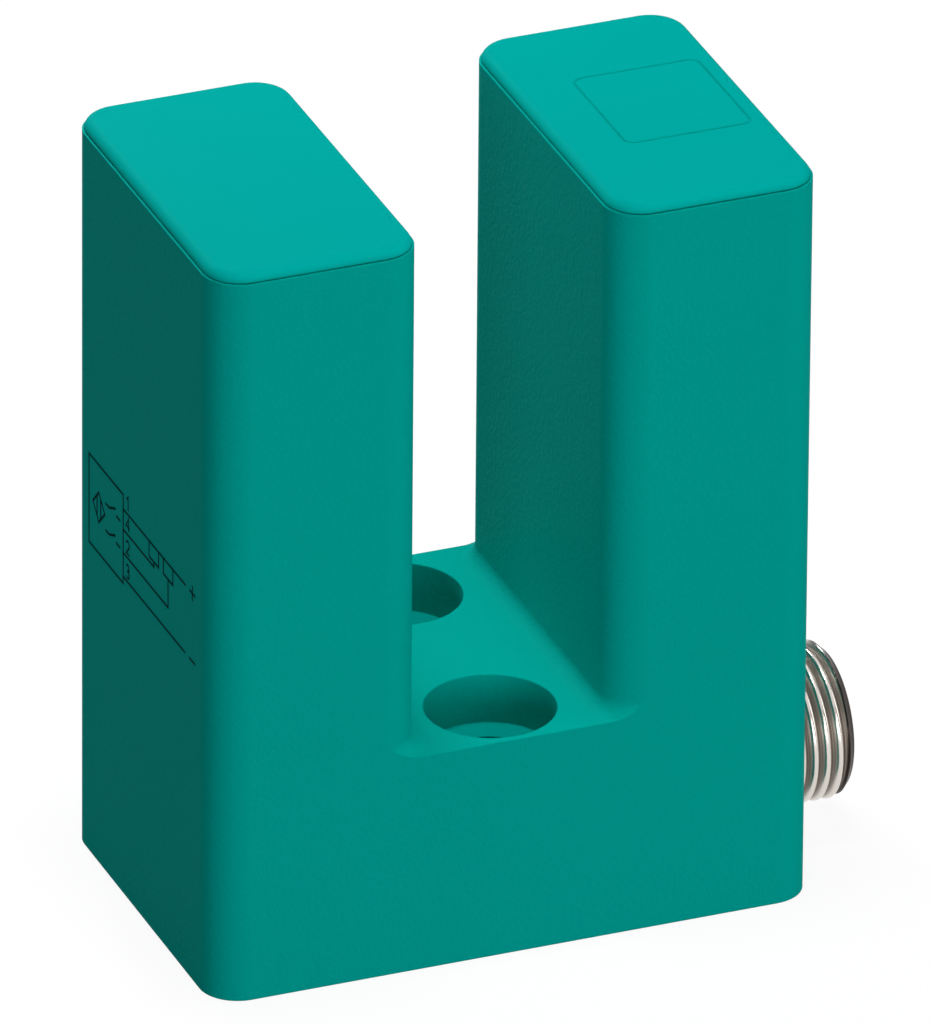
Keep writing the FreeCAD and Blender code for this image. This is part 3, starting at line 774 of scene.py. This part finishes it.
def ink_piece(name, strokes, to_space, height, kind, skin=None):
    """One mesh of many ribbons: foot and top rows on both sides, closed round, with ends."""
    points = []
    faces = []
    base = 0
    for path, width, closed in strokes:
        low, high = ribbon(path, width, closed)
        rows = np.stack([to_space(low, 0.0), to_space(low, height),
                         to_space(high, height), to_space(high, 0.0)], axis=1)
        count = len(low)
        faces += (grid_faces(count, 4, close_rows=closed) + base).tolist()
        if not closed:
            faces += [[base + k for k in range(4)],
                      [base + 4 * (count - 1) + k for k in (3, 2, 1, 0)]]
        points.append(rows.reshape(-1, 3))
        base += 4 * count
    piece = finished_piece(name, np.concatenate(points), faces, smooth=False)
    return dress(piece, kind, skin)


def on_left_side(flat, height):
    """Points (y, z) in millimetres on the left side, raised by a height in metres."""
    return np.column_stack([np.full(len(flat), housing_low.x - height), flat * millimetre])


def arc(centre, radius, start, end, steps=12):
    """Points round a centre between two angles in degrees."""
    t = np.radians(np.linspace(start, end, steps))
    return np.column_stack([centre[0] + radius * np.cos(t), centre[1] + radius * np.sin(t)])


print("ribbon of two points has", sum(map(len, ribbon([(0, 0), (1, 0)], 0.2))), "corners")

# %% Draw the picture's lines
line = 0.20
strokes = []


def draw(points, width=line, closed=False):
    """Add one stroke of (y, z) points in millimetres."""
    strokes.append((np.array(points, dtype=float), width, closed))


supply, first_output, second_output, ground = 32.3, 30.6, 28.65, 26.65
box_front, box_rear, box_foot, box_top = 3.92, 11.04, 26.1, 33.5
supply_end, ground_end = -9.0, -8.9
first_drop, second_drop = -2.46, -5.37
load_foot = first_output + 0.4
load_width = 1.96
draw([(box_rear, box_top), (box_front, box_top), (box_front, box_foot), (box_rear, box_foot)],
     closed=True)
draw([(box_front, supply), (supply_end, supply)])
draw([(box_front, first_output), (first_drop, first_output), (first_drop, load_foot)])
draw([(box_front, second_output), (second_drop, second_output), (second_drop, load_foot)])
draw([(box_front, ground), (ground_end, ground)])
for load_rear in (-1.46, -4.40):
    load_front = load_rear - load_width
    draw([(load_rear, supply), (load_rear, load_foot), (load_front, load_foot),
          (load_front, supply)])
print("strokes of the box, its lines and both loads:", len(strokes))

# %% Draw the picture's signs
diamond = [(9.0, 31.2), (7.75, 29.95), (9.0, 28.7), (10.2, 29.95)]
plate_foot, plate_top = 29.1, 30.8
draw(diamond, closed=True)
for plate in (8.6, 9.35):
    draw([(plate, plate_foot), (plate, plate_top)])

lead_in, hinge, blade_tip, blade_rise, contact, lead_out = 7.6, 6.8, 5.5, 0.55, 5.4, 4.5
for switch in (31.0, 28.75):
    draw([(lead_in, switch), (hinge, switch)])
    draw([(hinge, switch), (blade_tip, switch + blade_rise)])
    draw([(contact, switch), (lead_out, switch)])

sign_middle, sign_half = -10.35, 0.65
draw([(sign_middle + sign_half, supply), (sign_middle - sign_half, supply)])
draw([(sign_middle, supply + sign_half), (sign_middle, supply - sign_half)])
draw([(sign_middle + sign_half, ground), (sign_middle - sign_half, ground)])
print("strokes with the signs:", len(strokes))

# %% Draw the picture's numbers
# A number is drawn in a box of height 1 and reads towards the front, where y falls
digit_size, digit_line, digit_place, digit_rise = 1.1, 0.19, 3.3, 0.33
digit_paths = {
    1: [(0.10, 0.78), (0.36, 1.0), (0.36, 0.0)],
    2: np.vstack([arc((0.30, 0.70), 0.28, 165, -35), [(0.02, 0.0), (0.62, 0.0)]]),
    3: np.vstack([arc((0.28, 0.74), 0.25, 150, -80), arc((0.28, 0.26), 0.28, 80, -150)]),
    4: [(0.46, 0.0), (0.46, 1.0), (0.0, 0.30), (0.62, 0.30)],
}
for number, wire in ((1, supply), (4, first_output), (2, second_output), (3, ground)):
    across, rise = digit_size * np.array(digit_paths[number], dtype=float).T
    draw(np.column_stack([digit_place - across, wire + digit_rise + rise]), digit_line)
ink_piece("wiring_print", strokes, on_left_side, 12 * micrometre, "black_plastic", "black_ink")
print("strokes in all:", len(strokes))

# %% [markdown]
# ## The field on the right cap
# A faint raised frame is moulded into the right cap. The same ribbon draws it, flat on the
# cap's top, in the cap's own plastic. Its foot is sunk a little, so that no gap shows under it.

# %% Raise the frame on the cap
frame_half_x, frame_half_y, frame_corner, frame_line = 5.0, 5.6, 0.8, 0.16
frame_middle = [17.3, 0.6]
frame_sunk = 10 * micrometre
frame_height = 30 * micrometre


def on_cap(flat, height):
    """Points (x, y) in millimetres on the cap's top, raised by a height in metres."""
    return np.column_stack([flat * millimetre,
                            np.full(len(flat), cap_top - frame_sunk + height)])


outline = rounded_rectangle(frame_half_x, frame_half_y, frame_corner) + frame_middle
ink_piece("cap_frame", [(outline, frame_line, True)], on_cap, frame_height, "cap_plastic")
print("frame corners:", len(outline))

# %% [markdown]
# ## The floor
# A plain pale sheet lies under the object. What the camera sees of it is lifted towards white,
# and its own shading stays on top, so the soft shadow is kept.

# %% Lay the floor
floor_reach = 3.0
floor_level = -20 * micrometre
floor_grey = 0.11
floor_lift = 0.91
corners = [(-1, -1), (1, -1), (1, 1), (-1, 1)]
floor_mesh = bpy.data.meshes.new("floor")
floor_mesh.from_pydata([(x * floor_reach, y * floor_reach, floor_level) for x, y in corners],
                       [], [(0, 1, 2, 3)])
floor = new_object("floor", floor_mesh)
floor_material, tree, shader = new_material(
    "floor_paper",
    {"Base Color": (floor_grey, floor_grey, floor_grey, 1), "Roughness": 1.0,
     "Specular IOR Level": 0.0, "Emission Color": (1, 1, 1, 1)})
lift = add_node(tree, "ShaderNodeMath", {1: floor_lift}, operation="MULTIPLY")
link(tree, (seen_directly(tree), 0, lift, 0), (lift, 0, shader, "Emission Strength"))
floor_mesh.materials.append(floor_material)
print("floor laid, a hair below the housing's foot")
